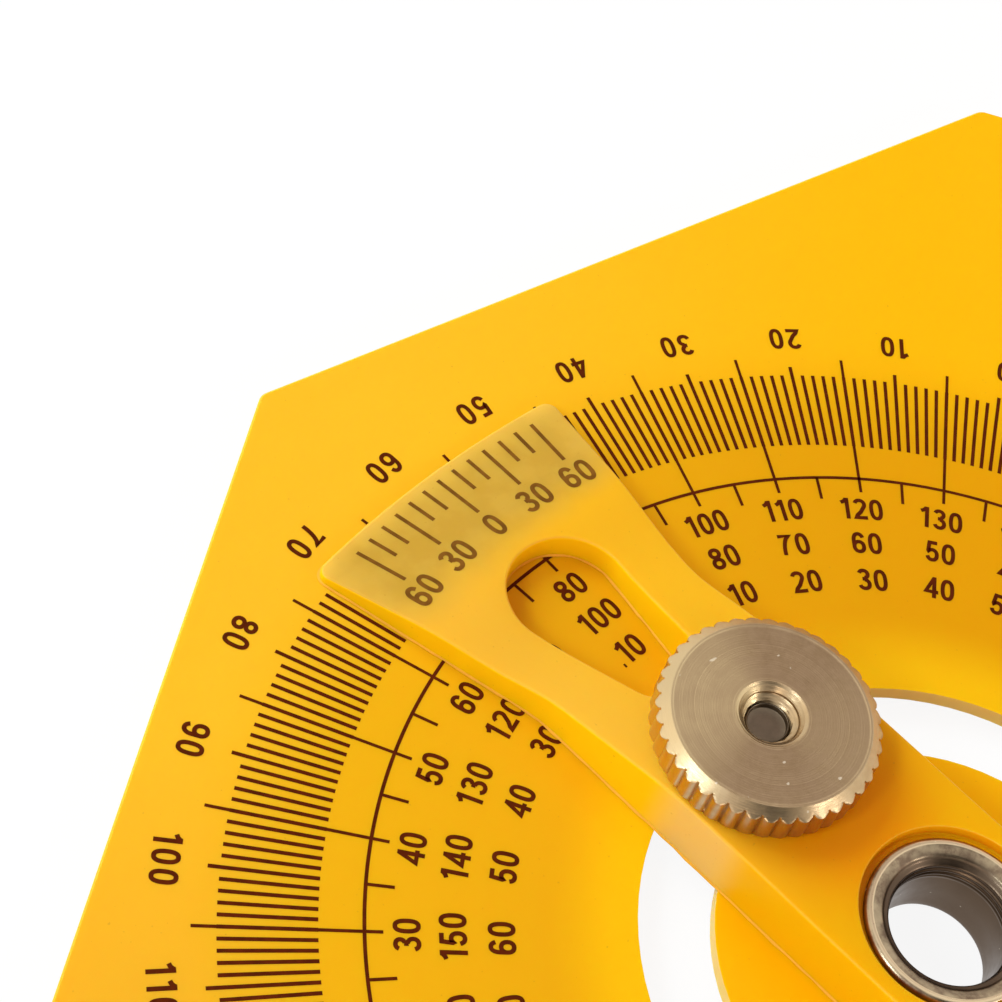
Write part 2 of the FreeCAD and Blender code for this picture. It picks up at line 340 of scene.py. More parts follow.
def strip(path, closed, width, height_at, sink, proud):
    """Rectangular section carried along a path on a surface, as a closed shell.

    The side points stand half a width from the path along its normal, lengthened at corners by one over
    the cosine of half the bend, and the section runs from sink under the surface to proud over it."""
    after = np.roll(path, -1, 0) - path
    before = path - np.roll(path, 1, 0)
    if not closed:
        after[-1], before[0] = before[-1], after[0]
    after, before = unit(after), unit(before)
    along = unit(after + before)
    stretch = 1 / np.maximum(np.einsum("ij,ij->i", along, after), 0.6)
    normal = np.stack([-along[:, 1], along[:, 0]], -1) * (width / 2 * stretch)[:, None]
    left, right = path + normal, path - normal
    corners = []
    for side, offset in ((left, -sink), (right, -sink), (right, proud), (left, proud)):
        corners.append(np.column_stack([side, height_at(side) + offset]))
    faces = grid_quads(len(path), 4, closed, True).tolist()
    if not closed:
        last = 4 * (len(path) - 1)
        faces += [[0, 1, 2, 3], [last + 3, last + 2, last + 1, last]]
    return np.stack(corners, 1), faces


NARROW_MARKS = {"1": 0.42, ".": 0.08}
DOT_LEAD = 0.11
FILM_STEP, FILM_LEVELS = 0.15, 5


class Print:
    """Printed marks of one surface, gathered as shells of ink."""

    def __init__(self, height_at, settings, sidestep=0.0):
        self.height_at = height_at
        self.settings = settings
        self.sidestep = sidestep
        self.parts = []

    def stroke(self, path, width, closed=False):
        """Adds one line of a width along a path, of another thickness than the last, which it may cross."""
        film = self.settings.ink_film * (1 + FILM_STEP * (len(self.parts) % FILM_LEVELS))
        self.parts.append(strip(path, closed, width, self.height_at, film, film))

    def tick(self, reading, ends, width):
        """Adds a radial line between two radii at a reading."""
        self.stroke(scale_point(np.array([reading, reading]), np.array(ends)), width)

    def arc(self, first, last, radius, width):
        """Adds an arc about the pivot between two readings."""
        readings = np.linspace(first, last, int(abs(last - first)) + 1)
        self.stroke(scale_point(readings, radius), width)

    def number(self, text, reading, radius, up, height, gap):
        """Adds a number with its middle at a reading and radius, its top outwards (up 1) or inwards (-1)."""
        s = self.settings
        strokes = numeral_strokes(s.numeral_width, s.numeral_stroke)
        widths = [NARROW_MARKS.get(mark, s.numeral_width) for mark in text]
        gaps = gap * (len(text) - 1)
        place = -(sum(widths) + gaps) / 2 - (DOT_LEAD if text[0] == "." else 0.0)
        centre = scale_point(reading, radius)
        top = centre / np.linalg.norm(centre) * up
        across = np.array([top[1], -top[0]])
        for mark, width in zip(text, widths):
            for path, closed in strokes[mark]:
                local = (path + [place, -0.5]) * height + [self.sidestep, 0.0]
                flat = centre + local[:, :1] * across + local[:, 1:] * top
                self.stroke(flat, s.numeral_stroke * height, closed)
            place += width + gap


# ---------------------------------------------------------------- node materials


class Wire:
    """A node's output socket in Python expressions: each operator adds the Math node it names."""

    def __init__(self, tree, socket):
        self.tree = tree
        self.socket = socket

    def node(self, kind, settings=None, sockets=None, out=0):
        """Adds a node of a type, with its settings first and then its sockets, and returns one output."""
        made = self.tree.nodes.new(kind)
        for key, value in (settings or {}).items():
            setattr(made, key, value)
        for key, value in (sockets or {}).items():
            target = made.inputs[key]
            if isinstance(value, Wire):
                self.tree.links.new(value.socket, target)
            elif target.type == "RGBA" and len(value) == 3:
                target.default_value = (*value, 1.0)
            else:
                target.default_value = value
        return Wire(self.tree, made.outputs[out])

    def math(self, operation, *values, clamp=False):
        """Adds a Math node on these values."""
        settings = {"operation": operation, "use_clamp": clamp}
        return self.node("ShaderNodeMath", settings, dict(enumerate(values)))

    def __add__(self, other):
        return self.math("ADD", self, other)

    __radd__ = __add__

    def __mul__(self, other):
        return self.math("MULTIPLY", self, other)

    __rmul__ = __mul__

    def __sub__(self, other):
        return self.math("SUBTRACT", self, other)

    def __rsub__(self, other):
        return self.math("SUBTRACT", other, self)

    def __abs__(self):
        return self.math("ABSOLUTE", self)

    def ramp(self, low, high):
        """0 below low, 1 above high and a smooth step between."""
        sockets = {"Value": self, "From Min": low, "From Max": high}
        return self.node("ShaderNodeMapRange", {"interpolation_type": "SMOOTHSTEP"}, sockets)

    def mix(self, first, second):
        """Colour from first at 0 of this value to second at 1."""
        settings = {"data_type": "RGBA", "clamp_factor": True}
        return self.node("ShaderNodeMix", settings, {0: self, 6: first, 7: second}, 2)

    def vector(self, operation, *values, out=0):
        """Adds a Vector Math node on this vector and the others."""
        sockets = dict(enumerate((self, *values)))
        return self.node("ShaderNodeVectorMath", {"operation": operation}, sockets, out)

    def along(self, x, y, z=0.0):
        """How far this place lies in a direction."""
        return self.vector("DOT_PRODUCT", (x, y, z), out=1)

    def flat(self):
        """This vector without its height."""
        return self.vector("MULTIPLY", (1.0, 1.0, 0.0))

    def radius(self):
        """Distance of this place from the upright axis through the origin."""
        return self.flat().vector("LENGTH", out=1)

    def noise(self, scale, detail=2.0, roughness=0.5):
        """Noise of a scale in features a metre, read at this vector."""
        sockets = {"Vector": self, "Scale": scale, "Detail": detail, "Roughness": roughness}
        return self.node("ShaderNodeTexNoise", {"noise_dimensions": "3D"}, sockets)

    def end(self, kind="ShaderNodeOutputMaterial"):
        """Ends the tree with this shader."""
        output = self.tree.nodes.new(kind)
        self.tree.links.new(self.socket, output.inputs["Surface"])


def material(name):
    """A material without nodes but its Object coordinates, whose wire is returned too."""
    made = bpy.data.materials.new(name)
    made.use_nodes = True
    tree = made.node_tree
    tree.nodes.clear()
    place = tree.nodes.new("ShaderNodeTexCoord")
    return made, Wire(tree, place.outputs["Object"])


def surface(made, place, sockets, grain, strength, distance):
    """Ends a material: a Principled shader with these sockets and a bump of a grain."""
    bent = place.node("ShaderNodeBump", None, {"Height": grain, "Strength": strength, "Distance": distance})
    sockets = {**sockets, "Normal": bent}
    place.node("ShaderNodeBsdfPrincipled", {"subsurface_method": "RANDOM_WALK"}, sockets).end()
    return made


def shade(colour, factor):
    """A colour times a factor."""
    return tuple(channel * factor for channel in colour)


# Where tints change, in metres: each pair that isn't a way holds the ends of a smooth step.
# Painted shade: the head's tint darkens along this way, towards its right end.
SHADED_WAY, SHADED_FADE = (0.826, -0.533), (-0.065, 0.01)
NEAR_WAY, NEAR_FADE, NEAR_SHARE = (0.432, 0.902), (-0.008, 0.026), 0.85
RING_EDGE, SLOT_EDGE, DISC_EDGE = (0.052, 0.068), (0.0275, 0.035), (0.0150, 0.0260)
OVER_SLOT_START, OVER_SLOT_END = (0.0180, 0.0212), (0.0245, 0.0285)
PIVOT_SIDE_EDGE, RECESS_EDGE = (0.0180, 0.0230), (0.0090, 0.0100)
BLADE_ACROSS, PIVOT_FADE, BLADE_START = (-0.006, 0.010), (0.006, 0.034), (0.0498, 0.0560)
# Painted shadow of the thumb nut on the vernier arm: the reach of its middle, and the ends of its fade.
NUT_SHADOW_REACH, NUT_SHADOW_EDGE = 0.0135, (0.003, 0.012)
TIP_END, TIP_SIDE, TIP_WOBBLE = (0.0600, 0.0632), (0.0105, 0.0150), 0.003
DARK_EDGE_WOBBLE = 0.0008

HIGHLIGHT_BLEND = 0.03  # millimetres
DUST_COLOUR, DUST_SHARE, SPECK_SHARE = (0.9, 0.82, 0.66), 0.6, 0.3
# The third is the share of the painted highlight along the vernier arm's rims.
TIP_END_SHARE, TIP_SIDE_SHARE, RIM_HIGHLIGHT_SHARE = 0.8, 0.4, 0.6
# The first darkens the eyelet's funnel; the second paints the highlight of its crest.
DARKENED, HIGHLIGHT_BRIGHT = 0.55, 1.65  # factors on the metal's colours
# Painted reflection: shares of the nut face's brighter sectors.
SHEEN, SHEEN_ACROSS = 0.9, 0.3


def moulding(name, settings, tint, side_tint):
    """Translucent moulding plastic, with the colours of its faces and of its upright sides by the place. The
    sides' tints are partly painted light, brighter where light passes through the plastic edge-on.
    """
    made, place = material(name)
    normal = place.node("ShaderNodeNewGeometry", None, None, 1)
    level = abs(normal.along(0.0, 0.0, 1.0)).ramp(0.35, 0.80)
    # Partly painted light: upright sides take their own, brighter tints.
    colour = level.mix(side_tint(settings, place), tint(settings, place))
    specks = place.noise(2600, 1.0).ramp(0.74, 0.80)
    return surface(made, place, {
        "Base Color": (specks * SPECK_SHARE).mix(colour, settings.speck_colour),
        "Roughness": place.noise(300) * 0.10 + (settings.plastic_roughness - 0.05),
        "IOR": 1.46,
        "Specular IOR Level": settings.plastic_gloss,
        "Subsurface Weight": settings.glow,
        "Subsurface Radius": (1.0, 0.5, 0.15),
        "Subsurface Scale": settings.glow_depth,
    }, place.noise(1500, 3.0), 0.12, 0.00004)


def dull_coat(name, dark, light, patch, roughness, gloss, grain):
    """Thin opaque plastic or ink in patches of two colours, with the scale and detail of its grain."""
    made, place = material(name)
    return surface(made, place, {
        "Base Color": place.noise(patch).ramp(0.3, 0.7).mix(dark, light),
        "Roughness": roughness,
        "Specular IOR Level": gloss,
    }, place.noise(*grain), 0.1, 0.00002)


def plain_moulding(name, colour):
    """Thin moulding plastic that is too fine for light to scatter in."""
    return dull_coat(name, colour, shade(colour, 0.9), 400, 0.5, 0.03, (1500, 2.0))


def ink(name, colour):
    """Dull printing ink with a slightly uneven film."""
    return dull_coat(name, shade(colour, 0.85), shade(colour, 1.25), 900, 0.6, 0.04, (3000, 1.0))


def cloud(place, light, deep):
    """Slow clouds and faint flow marks between two tints."""
    flow = place.vector("MULTIPLY", (1.0, 5.0, 1.0)).noise(60)
    return (place.noise(45, 3.0) * 0.7 + flow * 0.3).ramp(0.35, 0.65).mix(light, deep)


def head_tint(s, place):
    """Tint of the head: deeper in the ring of the scale, where less light comes in from the edges, with
    painted shade towards the right end and painted light along the slot.
    """
    radius = place.radius()
    # Painted shade: 1 towards the head's right end, which takes the shaded tints.
    across = place.along(*SHADED_WAY).ramp(*SHADED_FADE)
    near_end = 1 - place.along(*NEAR_WAY).ramp(*NEAR_FADE)
    rim = across.mix(cloud(place, s.head_colour, shade(s.head_colour, 0.97)), s.head_far_colour)
    rim = (near_end * NEAR_SHARE).mix(rim, s.near_colour)
    middle = across.mix(s.ring_colour, s.ring_far_colour)
    # Painted light: a brighter tint near the slot, where light from the floor comes up through it.
    middle = radius.ramp(*SLOT_EDGE).mix(s.slot_colour, middle)
    middle = radius.ramp(*DISC_EDGE).mix(s.disc_colour, middle)
    return (1 - radius.ramp(*RING_EDGE)).mix(rim, middle)


def arm_tint(s, place):
    """Tint of the long arms."""
    return cloud(place, s.arm_colour, s.arm_deep_colour)


def plate_side_tint(s, place):
    """Tint of the head's thin edges, which light from the floor makes pale."""
    return cloud(place, s.plate_side_colour, shade(s.plate_side_colour, 0.93))


def arm_side_tint(s, place):
    """Tint of an arm's sides: deep, and pale where the open slot of the head lets light up from below."""
    radius = place.radius()
    over_slot = radius.ramp(*OVER_SLOT_START) * (1 - radius.ramp(*OVER_SLOT_END))
    deep = cloud(place, s.side_colour, shade(s.side_colour, 0.95))
    deep = radius.ramp(*PIVOT_SIDE_EDGE).mix(s.pivot_side_colour, deep)
    # Painted shade: a deeper orange on the wall of the pivot's recess, round its eyelet.
    deep = radius.ramp(*RECESS_EDGE).mix(s.recess_colour, deep)
    return over_slot.mix(deep, s.lit_side_colour)


def blade_tint(s, place):
    """Tint of the vernier arm: deep at the pivot, amber blade with a painted shadow of the thumb nut, cloudy
    khaki at the thin tip, painted highlights along the rims.
    """
    reach = place.along(*AHEAD)
    aside = place.along(*LEFT)
    wobble = (place.noise(180) - 0.5) * TIP_WOBBLE
    colour = aside.ramp(*BLADE_ACROSS).mix(s.arm_far_colour, s.arm_colour)
    colour = reach.ramp(*PIVOT_FADE).mix(s.arm_deep_colour, colour)
    # Painted shadow of the thumb nut: a deeper orange round a spot beside the nut.
    beside = place.vector("SUBTRACT", (*(AHEAD * NUT_SHADOW_REACH), 0.0)).radius()
    colour = beside.ramp(*NUT_SHADOW_EDGE).mix(s.arm_stain_colour, colour)
    thin = place.flat().noise(300, 3.0).ramp(0.36, 0.64).mix(s.tip_colour, s.tip_shade_colour)
    end = (reach + wobble).ramp(*TIP_END) * TIP_END_SHARE
    edge = end + (abs(aside) + wobble).ramp(*TIP_SIDE) * TIP_SIDE_SHARE
    thin = edge.mix(thin, s.tip_rim_colour)
    blade = (reach + wobble).ramp(*BLADE_START)
    # Painted highlight: the edge attribute pales the rims, where light would catch them.
    painted_highlight = place.node("ShaderNodeAttribute", {"attribute_name": "edge"}, None, 2)
    return (painted_highlight * (1 - blade) * RIM_HIGHLIGHT_SHARE).mix(blade.mix(colour, thin), s.edge_colour)


def tarnished(place, colour, deep_colour, bright, low, high):
    """Darkens metal to a deep brown below the second of two heights, and paints a bright highlight above it.
    """
    height = place.along(0.0, 0.0, 1.0)
    lighter_above = (height + (place.noise(500) - 0.5) * DARK_EDGE_WOBBLE).ramp(low * MM, high * MM)
    # Painted highlight along the crest.
    painted_highlight = height.ramp((high - HIGHLIGHT_BLEND) * MM, (high + HIGHLIGHT_BLEND) * MM)
    return painted_highlight.mix(lighter_above.mix(shade(deep_colour, DARKENED), colour), shade(bright, HIGHLIGHT_BRIGHT))


def turned_metal(name, colour, deep_colour, centre, scale, roughness, groove, dark_heights=None, sheen=None):
    """Metal turned about an upright axis: fine grooves by the distance from it, with dull patches and specks.

    dark_heights holds the two heights of the tarnished function. With a sheen of (azimuth,
    colour) two opposite sectors are painted brighter as a painted reflection, the first more."""
    made, place = material(name)
    spot = place.vector("SUBTRACT", (centre[0] * MM, centre[1] * MM, 0.0))
    line_up = place.node("ShaderNodeCombineXYZ", None, {"X": spot.radius() * scale, "Y": 0.5})
    rings = line_up.node("ShaderNodeTexNoise", None, {"Vector": line_up, "Scale": 1.0, "Detail": 3.0})
    patch = place.noise(700, 4.0, 0.65).ramp(0.35, 0.7)
    metal = patch.mix(colour, deep_colour)
    if dark_heights is not None:
        metal = tarnished(place, metal, deep_colour, colour, *dark_heights)
    if sheen is not None:
        azimuth, bright_colour = sheen
        # Painted reflection: sectors of the face towards the azimuth, and less the opposite ones, take the
        # brighter colour.
        side = spot.flat().vector("NORMALIZE").along(math.cos(azimuth), math.sin(azimuth))
        sectors = side.ramp(0.2, 1.0) * SHEEN + (side * -1.0).ramp(0.5, 1.0) * SHEEN_ACROSS
        metal = sectors.mix(metal, bright_colour)
    dust = place.noise(1700, 0.0).ramp(0.845, 0.875)
    return surface(made, place, {
        "Base Color": (dust * DUST_SHARE).mix(metal, DUST_COLOUR),
        "Metallic": 1.0,
        "Roughness": patch * 0.08 + rings * 0.10 + (roughness - 0.09) + dust * 0.3,
    }, rings, groove, 0.00003)


# ---------------------------------------------------------------- settings


def rgb(name, description, default):
    """Colour setting in linear red, green and blue."""
    return bpy.props.FloatVectorProperty(
        name=name, description=description, subtype="COLOR", size=3, min=0.0, max=1.0, default=default
    )


def point(name, description, default):
    """Place setting."""
    return bpy.props.FloatVectorProperty(
        name=name, description=description, subtype="TRANSLATION", unit="LENGTH", size=3, default=default
    )


def fraction(name, description, default):
    """Setting between 0 and 1."""
    return bpy.props.FloatProperty(name=name, description=description, min=0.0, max=1.0, default=default)


def amount(name, description, default, **more):
    """Setting of any other number."""
    return bpy.props.FloatProperty(name=name, description=description, default=default, **more)


def degrees(name, description, default):
    """Angle setting."""
    return amount(name, description, math.radians(default), subtype="ANGLE")


def mm(name, description, default):
    """Length setting in millimetres."""
    return amount(name, description + ", in mm", default)


class PlasticSettings(bpy.types.PropertyGroup):
    """Tints and gloss of the moulded plastic."""

    head_colour: rgb("Plate colour", "Tint near the head's long edges", (0.925, 0.500, 0.020))
    # Painted shade: the plate's tint towards its right end.
    head_far_colour: rgb("Far plate", "Tint towards the head's right end", (0.925, 0.48, 0.002))
    plate_side_colour: rgb("Plate sides", "Pale tint of the head's thin edges", (0.80, 0.56, 0.15))
    ring_colour: rgb("Ring colour", "Deeper tint in the ring of the scale", (0.81, 0.43, 0.006))
    # Painted shade: the ring's tint towards the right end.
    ring_far_colour: rgb("Far ring", "Deeper tint towards the right end", (0.735, 0.335, 0.001))
    near_colour: rgb("Near end", "Deeper tint towards the pivots", (0.81, 0.42, 0.02))
    # Painted light along the slot.
    slot_colour: rgb("Slot colour", "Bright tint along the slot", (0.88, 0.50, 0.003))
    disc_colour: rgb("Disc colour", "Tint of the disc inside the slot", (0.86, 0.425, 0.001))
    arm_colour: rgb("Arm colour", "Tint of the arms", (0.815, 0.447, 0.034))
    arm_far_colour: rgb("Far arm", "Tint of the blade's right side", (0.82, 0.435, 0.013))
    arm_deep_colour: rgb("Arm shade", "Deeper tint of the arms", (0.80, 0.405, 0.002))
    # Painted shadow of the thumb nut on the arm.
    arm_stain_colour: rgb("Arm stain", "Orange tint beside the thumb nut", (0.80, 0.29, 0.001))
    # Partly painted light: the sides are tinted brighter, as if lit through the plastic.
    side_colour: rgb("Arm sides", "Deep tint of the arms' upright sides", (0.96, 0.57, 0.003))
    pivot_side_colour: rgb("Pivot sides", "Tint of the sides round the pivot", (0.83, 0.445, 0.002))
    # Painted shade in the pivot's recess.
    recess_colour: rgb("Recess", "Tint of the wall round an eyelet", (0.96, 0.40, 0.002))
    lit_side_colour: rgb("Lit sides", "Pale tint of the sides over the slot", (0.83, 0.52, 0.12))
    tip_colour: rgb("Tip colour", "Cloudy tint of the thin tip", (0.545, 0.318, 0.037))
    tip_shade_colour: rgb("Tip shade", "Streaks of the thin tip", (0.585, 0.352, 0.046))
    tip_rim_colour: rgb("Tip rim", "Paler tint at the rim of the tip", (0.755, 0.462, 0.066))
    # Painted highlight along the rims and the seam.
    edge_colour: rgb("Edge colour", "Paler tint along the rims and the seam", (0.87, 0.475, 0.055))
    speck_colour: rgb("Speck colour", "Small dark specks in the plastic", (0.45, 0.20, 0.02))
    plastic_roughness: fraction("Roughness", "Roughness of the plastic", 0.38)
    plastic_gloss: fraction("Gloss", "Strength of the plastic's reflection", 0.06)
    glow: fraction("Glow", "Share of light that scatters inside the plastic", 0.5)
    glow_depth: amount("Glow depth", "How far light scatters in the plastic", 0.0015, unit="LENGTH", min=0.0)


class ArmSettings(bpy.types.PropertyGroup):
    """Form of the vernier arm; reaches are distances from the main pivot towards the tip."""

    half_width: mm("Half width", "Half the width of the straight part", 10.25)
    slope_start: mm("Slope start", "Reach where the upper side starts to fall", 23.5)
    land_start: mm("Land start", "Reach where the slope ends on the thin blade", 42.7)
    bevel_start: mm("Bevel start", "Reach where the tip's bevel starts", 50.4)
    tip_reach: mm("Tip reach", "Reach of the tip", 63.4)
    blade_thickness: mm("Blade thickness", "Thickness before the bevel", 3.0)
    tip_thickness: mm("Tip thickness", "Thickness at the tip", 0.8)
    slope_blend: mm("Slope blend", "Radius where slopes meet", 30.0)
    flare_reach: mm("Flare reach", "Reach where the sides start to flare", 38.4)
    flare_blend: mm("Flare blend", "Radius of the bend into the flare", 14.0)
    tip_half_width: mm("Tip half width", "Half the width at the tip's corners", 15.8)
    tip_arc_radius: mm("Tip arc", "Radius of the tip's edge", 112.0)
    tip_corner_round: mm("Tip corner", "Radius of the tip's corners", 1.2)
    window_near: mm("Window near", "Reach of the middle of the window's narrow end", 34.3)
    window_near_radius: mm("Window near radius", "Radius of the narrow end", 4.0)
    window_far: mm("Window far", "Reach of the middle of the window's wide end", 45.2)
    window_far_radius: mm("Window far radius", "Radius of the wide end", 5.85)
    recess_radius: mm("Recess radius", "Radius of the eyelets' recesses", 8.65)
    recess_depth: mm("Recess depth", "Depth of the eyelets' recesses", 1.3)
    pivot_radius: mm("Pivot radius", "Radius of the holes for the eyelets", 5.95)
    screw_hole_radius: mm("Screw hole", "Radius of the clamp screw's hole", 2.25)
    rim_round: mm("Rim round", "Radius of the soft upper rims", 0.32)
    flash: mm("Flash", "Width of the thin moulding seam along the lower edge", 0.17)
    flash_height: mm("Flash height", "Height of the moulding seam", 0.12)
    flash_foot: mm("Flash foot", "Height of the moulding seam's underside", 0.01)
    flash_root: mm("Flash root", "How far the moulding seam reaches into the wall", 0.05)


class PrintSettings(bpy.types.PropertyGroup):
    """Layout of the printed scales, in millimetres, degrees and heights of a numeral."""

    ink_colour: rgb("Scale ink", "Ink of the head's scale", (0.085, 0.012, 0.0015))
    vernier_ink_colour: rgb("Vernier ink", "Ink of the vernier's marks", (0.175, 0.068, 0.009))
    ink_film: mm("Ink film", "Thickness of the ink", 0.012)
    numeral_height: mm("Numeral height", "Height of the inner rings' numerals", 2.42)
    numeral_width: amount("Numeral width", "Width of a numeral in heights", 0.56)
    numeral_stroke: amount("Numeral stroke", "Width of a stroke in heights", 0.165)
    numeral_gap: amount("Numeral gap", "Gap between numerals in heights", 0.115)
    outer_height: mm("Outer height", "Height of the outer ring's numerals", 2.52)
    outer_gap: amount("Outer gap", "Gap between the outer ring's numerals in heights", 0.185)
    arc_radius: mm("Arc radius", "Radius of the scale's arc", 50.0)
    arc_line: mm("Arc line", "Width of the arc", 0.33)
    degree_line: mm("Degree line", "Width of a degree tick", 0.36)
    fine_line: mm("Fine line", "Width of the long ticks", 0.30)
    vernier_line: mm("Vernier line", "Width of a vernier tick", 0.39)
    vernier_height: mm("Vernier height", "Height of the vernier's numerals", 2.68)
    vernier_step: amount("Vernier step", "Degrees of a vernier space", 1.80)
    vernier_offset: amount("Vernier offset", "Degrees past the arm", 0.25)


class TurnedSettings(bpy.types.PropertyGroup):
    """Nut, screw and eyelets."""

    nut_colour: rgb("Nut colour", "Plated brass of the thumb nut", (0.52, 0.365, 0.205))
    nut_deep_colour: rgb("Nut shade", "Duller patches of the thumb nut", (0.43, 0.29, 0.155))
    nut_roughness: fraction("Nut roughness", "Roughness of the nut", 0.34)
    # Painted reflection on the nut's turned face.
    sheen_colour: rgb("Sheen colour", "Bright sectors of the turned face", (0.74, 0.56, 0.30))
    sheen_azimuth: degrees("Sheen azimuth", "Direction of the brighter sector", 135)
    nut_radius: mm("Nut radius", "Radius over the teeth", 10.2)
    nut_foot_height: mm("Nut foot", "Height of the bevel at the foot", 0.5)
    nut_chamfer_width: mm("Chamfer width", "Width of the nut's upper chamfer", 1.15)
    nut_chamfer_height: mm("Chamfer height", "Height of the nut's upper chamfer", 0.9)
    knurl_teeth: bpy.props.IntProperty(
        name="Knurl teeth", description="Teeth round the nut", min=12, default=40
    )
    knurl_depth: mm("Knurl depth", "Depth of a tooth", 0.45)
    bead_height: mm("Bead height", "Height of the thin burr round the nut's face", 0.08)
    mouth_radius: mm("Mouth radius", "Radius of the mouth of the threaded hole", 3.25)
    thread_radius: mm("Thread radius", "Radius of the hole at the thread's crests", 2.07)
    thread_depth: mm("Thread depth", "Depth of the thread", 0.42)
    thread_pitch: mm("Thread pitch", "Pitch of the thread", 0.8)
    eyelet_colour: rgb("Eyelet colour", "Plated brass of the eyelets", (0.48, 0.37, 0.23))
    eyelet_deep_colour: rgb("Eyelet shade", "Duller patches of the eyelets", (0.21, 0.14, 0.09))
    eyelet_bore: mm("Eyelet bore", "Radius of the hole through an eyelet", 5.4)
    eyelet_tube: mm("Eyelet tube", "Radius over an eyelet's tube", 5.9)
    eyelet_crest: mm("Eyelet crest", "Radius of the highest line of the flange", 7.3)
    eyelet_reach: mm("Eyelet reach", "Radius over the flange", 7.95)
    steel_colour: rgb("Screw colour", "Dull steel of the clamp screw", (0.24, 0.18, 0.12))
    screw_dish: mm("Screw dish", "Depth of the dish in the screw's end", 0.6)


class StageSettings(bpy.types.PropertyGroup):
    """Camera, floor and lamps."""

    camera_place: point("Camera place", "Where the camera stands", (-0.114385, -0.038065, 0.196537))
    camera_target: point("Camera target", "Point in the middle of the view", (-0.008981, 0.056673, 0.0))
    camera_roll: degrees("Camera roll", "Turn about the line of sight", 18.53)
    lens: amount("Lens", "Focal length in mm on a 36 mm sensor", 92.07)
    floor_colour: rgb("Floor colour", "Colour of the floor and the backdrop", (0.93, 0.93, 0.92))
    sky_colour: rgb("Sky colour", "Colour of the even light", (1.0, 0.76, 0.56))
    sky_strength: amount("Sky", "Strength of the even light", 0.59)
    key_colour: rgb("Key colour", "Colour of the key lamp", (0.72, 0.88, 1.0))
    key_power: amount("Key lamp", "Power of the key lamp in watts", 13.0)
    key_size: amount("Key size", "Side of the key lamp", 0.70, unit="LENGTH")
    left_power: amount("Left lamp", "Power of the left lamp in watts", 3.0)
    fill_power: amount("Fill lamp", "Power of the small lamp in watts", 1.1)
    low_power: amount("Low lamp", "Power of the low lamp in watts", 1.3)


# ---------------------------------------------------------------- forms


# Counts of points along the vernier arm's loops; lengths in millimetres.
TIP_POINTS, FAR_POINTS, NEAR_POINTS, SIDE_POINTS, RIM_POINTS = 13, 41, 33, 9, 6
OUTLINE_SPACING, PROFILE_SPACING = 1.5, 50.0
BEHIND_TAIL, PAST_TIP = -200.0, 2
GRID_REACH, GRID_ASIDE, GRID_STEP, GRID_MARGIN = (-92, 66), (-16.8, 17), 1.6, 0.6
WALL_FOOT, FLOOR_BEVEL, HOLE_BEVEL = 0.25, 0.15, 0.15
SEAM_WAVES = ((0.25, 1.9, 0.0), (0.2, 0.73, 1.0))  # rows of (share of the width, rate, start)
SEAM_START, SEAM_FADE, SEAM_LEAST = -70, 10, 0.1

# Radii of the printed rings in millimetres: ends of the ticks, and middles of the numbers.
TEN_TICK, FIVE_TICK, DEGREE_TICK, INNER_TICK_START = (48.4, 64.55), (53.9, 63.45), (53.9, 62.4), 47.5
INNER_RINGS, OUTER_RING, HEAD_SIDESTEP = (46.4, 42.45, 38.25), 67.0, -0.2
VERNIER_LONG, VERNIER_SHORT, VERNIER_RING = (57.05, 62.35), (59.3, 62.35), 55.0

# Profiles of turned pieces: rows of (radius, height) in millimetres, which the moved function places.
NUT_HOLE, NUT_FOOT_BEVEL, TOOTH_STEPS, TOOTH_POWER = 2.3, 0.4, 12, 0.7
FOOT_GAP, CHAMFER_GAP, CHAMFER_SHARE = 0.2, 0.1, 0.93
BURR = ((0.02, -0.012), (-0.04, 0.0), (-0.12, 0.0), (-0.18, -0.014))
FACE_RIM, FACE_RADII = ((-0.30, 0.0), (-0.5, 0.0)), (7.5, 6.0, 4.5, 3.7)
MOUTH_LIP, MOUTH_DROP, MOUTH_ROUND = ((0.1, 0.0), (0.03, -0.02), (-0.03, -0.09)), 0.16, 0.25
SMOOTH_MOUTH, GROOVE_START, GROOVE_POWER, THREAD_FOOT, THREAD_ROWS = 0.4, 0.4, 1.2, 0.12, 60
SCREW_FOOT, SCREW_SHOULDER = ((0.6, 0.0), (4.5, 0.0), (4.8, 0.25)), ((4.8, -1.9), (4.7, -1.7))
NECK_HALVES, NECK_LOW, NECK_HIGH, NECK_BEVEL, NECK_BEVEL_SHARE = (3.05, 2.5), -1.7, -0.3, 0.05, 0.97
SHANK_ROOT, SHANK, SHANK_GROOVE, SHANK_FADE, SHANK_ROWS = 1.95, 2.0, 0.3, 0.3, 26
THREAD_LOW, THREAD_END = 6.6, 0.1
SCREW_END = ((1.93, -0.02), (1.88, 0.0), (1.84, -0.03))
SCREW_DISH = ((1.78, 0.05), (1.70, 0.0), (1.0, 0.0), (0.3, -0.03))
TURN_STEPS = 96
FUNNEL_DEPTH, FUNNEL_ROWS, FUNNEL_DROP, FLARE_DEPTH, FLARE_POWER = 3.0, 61, 0.06, 1.5, 2.2
BORE_PLAY, CREST_PLAY, CREST_HALF, CREST_DROP = 0.07, 0.12, 0.04, 0.015
RIDGE, RIDGE_PITCH, RIDGE_RISE, RIDGE_FALL = 0.07, 0.62, 0.3, 0.8
ROLL_DROP, FLANGE, FLANGE_BEVEL = 0.5, 0.8, 0.1
CLINCH_BACK, CLINCH, CLINCH_WIDTH, CLINCH_HEIGHT = ((6.9, 0.6), (7.15, 0.45)), 6.65, 0.55, 0.3
MOUTH_CONE, BORE_LOW, BORE_HIGH = 0.9, 1.5, 3.4
